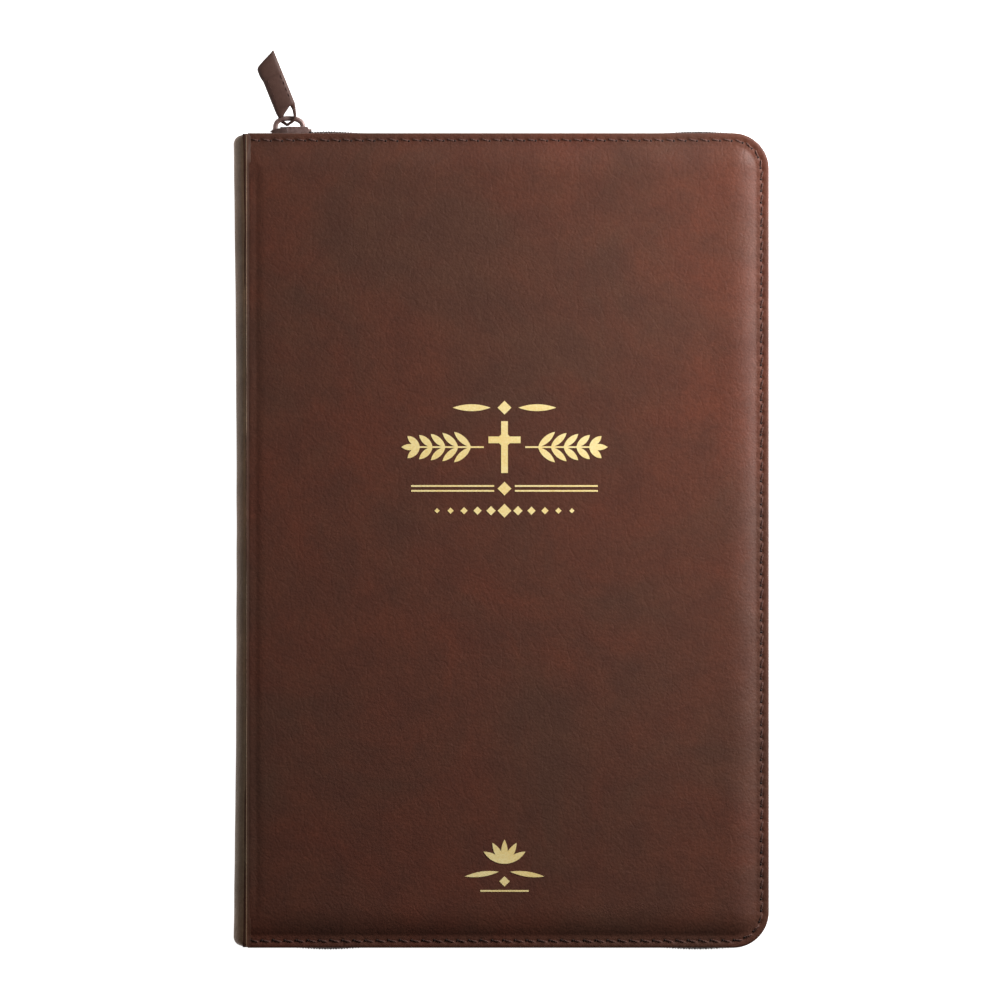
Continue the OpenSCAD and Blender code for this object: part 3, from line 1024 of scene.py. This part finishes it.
def make_pull():
    """A leather strap that forks into two strands, which cross over the bail and meet behind it."""
    bail_y = BAIL_HIGH[1] - BAIL_R
    meet = Vector((PIVOT.x + 0.8 * MM, bail_y - 1.95 * MM, MID_Z))
    right = [leaning(0.6 * MM, 1.9 * MM), leaning(STRAP_FORK, 1.95 * MM),
             leaning(-3.1 * MM, 1.8 * MM, 0.7 * MM),
             Vector((PIVOT.x + 2.9 * MM, bail_y - 0.2 * MM, MID_Z + 1.25 * MM)), meet + UP * 0.5 * MM]
    right_half = (0.75, 0.72, 0.5, 0.42, 0.4)
    left = [leaning(-2.3 * MM, -2.2 * MM), leaning(-3.3 * MM, -2.4 * MM, -0.35 * MM),
            Vector((PIVOT.x - 1.3 * MM, bail_y - 0.3 * MM, MID_Z - 1.25 * MM)), meet - UP * 0.4 * MM]
    left_half = (0.7, 0.7, 0.5, 0.42)
    parts = [strap_rows(), cheek_rows()]
    for strand, halves in ((right, right_half), (left, left_half)):
        fine = smooth_path(strand, STRAND_STEPS)
        sizes = []
        for n in range(len(fine)):
            at, part = min(n // STRAND_STEPS, len(halves) - 2), (n % STRAND_STEPS) / STRAND_STEPS
            if n == len(fine) - 1:
                part = 1
            wide = halves[at] + (halves[at + 1] - halves[at]) * eased(part)
            sizes.append((wide * MM, STRAND_HALF_HEIGHT))
        parts.append(tube(fine, sizes))
    verts, faces = collect(parts)
    strap = piece("pull_strap", verts, faces, PULL_LEATHER)
    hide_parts("pull_tab", "pull_loop")
    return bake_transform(strap)


def make_pull_thread():
    """Two short rows of stitches hold the folded ply."""
    parts = []
    for v in (-2.1 * MM, 2.0 * MM):
        for n in range(4):
            u = (0.9 + 1.9 * n) * MM
            t = (u - STRAP_FORK) / (STRAP_LENGTH - STRAP_FORK)
            top = strap_rise(t) + 0.85 * MM
            start, end = leaning(u, v, top - 0.02 * MM), leaning(u + 1.35 * MM, v, top)
            parts.append(capsule(start, end, 0.13 * MM, 6))
    verts, faces = collect(parts)
    made = piece("pull_stitches", verts, faces, THREAD)
    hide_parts("pull_tab_thread")
    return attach(made, "pull_tab")


def smooth_path(points, steps):
    """A Catmull-Rom curve through the points."""
    ends = [points[0] * 2 - points[1]] + list(points) + [points[-1] * 2 - points[-2]]
    out = []
    for a, b, c, d in zip(ends, ends[1:], ends[2:], ends[3:]):
        for k in range(steps):
            t = k / steps
            out.append(0.5 * ((2 * b) + (c - a) * t + (2 * a - 5 * b + 4 * c - d) * t * t
                              + (3 * b - a - 3 * c + d) * t ** 3))
    return out + [points[-1]]


# ---------------------------------------------------------------- pages

PAGE_CORNER = 6 * MM
PAGE_LAYERS = 22
CAP_RINGS = 24


def page_ring(low, high, inset, radius):
    """The outline of a leaf, with rounded corners at the fore-edge."""
    x0, x1, half = low[0] + inset, high[0] - inset, high[1] - inset
    r = max(radius - inset, 0.3 * MM)
    path = straight((x0, -half), (x1 - r, -half), 70) + bend(x1 - r, r - half, r, -math.pi / 2, 10)
    path += straight((x1, r - half), (x1, half - r), 60) + bend(x1 - r, half - r, r, 0, 10)
    return path + straight((x1 - r, half), (x0, half), 70) + straight((x0, half), (x0, -half), 30)


def make_pages(node):
    """Half of the page block: leaves that do not quite line up, with gilt edges."""
    low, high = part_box(node)
    rows = []
    for k in range(PAGE_LAYERS + 1):
        t = k / PAGE_LAYERS
        uneven = 0.07 * MM * (1 + math.sin(k * 2.4) * math.cos(k * 1.3))
        soft = 0.35 * MM * max(0, abs(2 * t - 1) - 0.9) * 8
        z = low[2] + (high[2] - low[2]) * t
        rows.append([(x, y, z) for x, y in page_ring(low, high, uneven + soft * 0.3, PAGE_CORNER)])
    count = len(rows[0])
    cx = (low[0] + high[0]) / 2
    caps = []
    for edge, z in ((rows[-1], high[2]), (rows[0], low[2])):
        for k in range(1, CAP_RINGS):
            s = 1 - k / CAP_RINGS
            caps.append([(cx + (x - cx) * s, y * s, z) for x, y, _ in edge])
    faces = loft(rows, closed=True)
    for half, start in ((0, PAGE_LAYERS), (1, 0)):
        first_cap = PAGE_LAYERS + 1 + half * (CAP_RINGS - 1)
        ring_starts = [start * count] + [(first_cap + k) * count for k in range(CAP_RINGS - 1)]
        for a, b in zip(ring_starts, ring_starts[1:]):
            faces += [(a + i, a + (i + 1) % count, b + (i + 1) % count, b + i) for i in range(count)]
        faces.append(tuple(ring_starts[-1] + i for i in range(count)))
    made = piece(f"{node}_block", flat(rows + caps), faces, GILT)
    made.data.materials.append(PAPER)
    for face in made.data.polygons:
        face.material_index = 1 if abs(face.normal.z) > 0.7 else 0
        face.use_smooth = False
    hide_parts(node)
    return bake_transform(made)


def make_ribbon():
    """A satin marker laid between the leaves, its cut end out at the tail."""
    low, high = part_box("ribbon_marker")
    width, half_t, above_page = 10 * MM, 0.05 * MM, 0.1 * MM
    steps, across = 60, 6
    top = Vector((low[0] + width / 2, high[1], low[2]))
    end = Vector((high[0] - width / 2, low[1] + 1.5 * MM, low[2]))
    rows = []
    for k in range(steps + 1):
        t = k / steps
        middle = top.lerp(end, t) + Vector((1.2 * MM * math.sin(t * 5), 0, 0))
        row = []
        for face in (1, -1):
            for n in range(across + 1)[::face]:
                s = n / across - 0.5
                notch = 2.0 * MM * (0.5 - abs(s)) if k == steps else 0
                lift = above_page + face * half_t
                row.append((middle.x + s * width, middle.y + notch, middle.z + lift))
        rows.append(row)
    verts, faces = collect([rows])
    made = piece("ribbon_satin_strip", verts, faces, RIBBON)
    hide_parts("ribbon_marker")
    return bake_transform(made)


# ---------------------------------------------------------------- the nodes that stay

STAYING = {
    "title_foil": FOIL, "emblem_foil": FOIL,
    "spine_cloth": GAUZE, "headband_head": SILK, "headband_tail": SILK,
    "slider_lock_spring": SPRING,
    "leaf_1": PAPER, "leaf_2": PAPER, "leaf_3": PAPER, "leaf_4": PAPER,
}
for side in ("front", "back"):
    STAYING.update({f"{side}_board": GREY_BOARD, f"{side}_lining": LINING,
                    f"{side}_pastedown": ENDPAPER, f"{side}_flyleaf": ENDPAPER})

for node, material in STAYING.items():
    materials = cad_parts[node].data.materials
    materials.clear()
    materials.append(material)

for side, body in (("front", "front_cover"), ("back", "back_cover")):
    at_back = side == "back"
    make_cover(side, body, at_back)
    make_stitches(side, body, at_back)
    make_joint(side, at_back)
    make_tape(side, body, at_back)
    make_coil(side, body, at_back)
    make_tape_sewing(side, body, at_back)
    make_stops(side, body)
make_spine()
make_spine_card()
make_spine_foil()
make_slider()
make_bail()
make_pull()
make_pull_thread()
make_pages("rear_pages")
make_pages("front_pages")
make_ribbon()


# ---------------------------------------------------------------- floor, light and camera

FLOOR_HALF = 4
PICTURE_W = 289.2 * MM
SENSOR_W = 36
LENS = 1000


def make_floor():
    """A plain pale floor that glows a little, so that it stays white."""
    s = FLOOR_HALF
    mesh = bpy.data.meshes.new("floor")
    mesh.from_pydata([(-s, -s, 0), (s, -s, 0), (s, s, 0), (-s, s, 0)], [], [(0, 1, 2, 3)])
    floor = bpy.data.objects.new("floor", mesh)
    bpy.context.scene.collection.objects.link(floor)
    look = Look("pale_floor", 0.9, Specular_IOR_Level=0.1, Emission_Strength=0.97)
    socket(look.shader, "Base Color", (0.96, 0.96, 0.96, 1))
    socket(look.shader, "Emission Color", (1, 1, 1, 1))
    mesh.materials.append(look.material)


def area_light(name, place, target, size, power):
    data = bpy.data.lights.new(name, "AREA")
    data.shape = "RECTANGLE"
    data.size, data.size_y = size
    data.energy = power
    light = bpy.data.objects.new(name, data)
    light.location = place
    light.rotation_euler = (Vector(target) - Vector(place)).to_track_quat("-Z", "Y").to_euler()
    bpy.context.scene.collection.objects.link(light)


def set_world(strength):
    world = bpy.data.worlds.new("studio")
    world.use_nodes = True
    back = world.node_tree.nodes["Background"]
    back.inputs["Color"].default_value = (1, 1, 1, 1)
    back.inputs["Strength"].default_value = strength
    bpy.context.scene.world = world


def make_camera():
    """Straight down on the front cover, from far enough away to look nearly flat."""
    data = bpy.data.cameras.new("camera")
    data.sensor_width = SENSOR_W
    data.lens = LENS
    camera = bpy.data.objects.new("camera", data)
    camera.location = (-0.3 * MM, 11.7 * MM, TOP_Z + PICTURE_W * LENS / SENSOR_W)
    bpy.context.scene.collection.objects.link(camera)
    bpy.context.scene.camera = camera


make_floor()
set_world(0.06)
area_light("key", (0.27, 0.24, 0.22), (0.05, 0.06, 0.03), (0.2, 0.2), 2.4)
area_light("side_strip", (0.3, 0.04, 0.17), (0.08, 0.04, 0.04), (0.1, 0.3), 0.7)
area_light("left_fill", (-0.5, 0.14, 0.12), (-0.07, 0.06, 0.03), (0.25, 0.4), 0.68)
make_camera()
bpy.context.scene.view_settings.view_transform = "Standard"
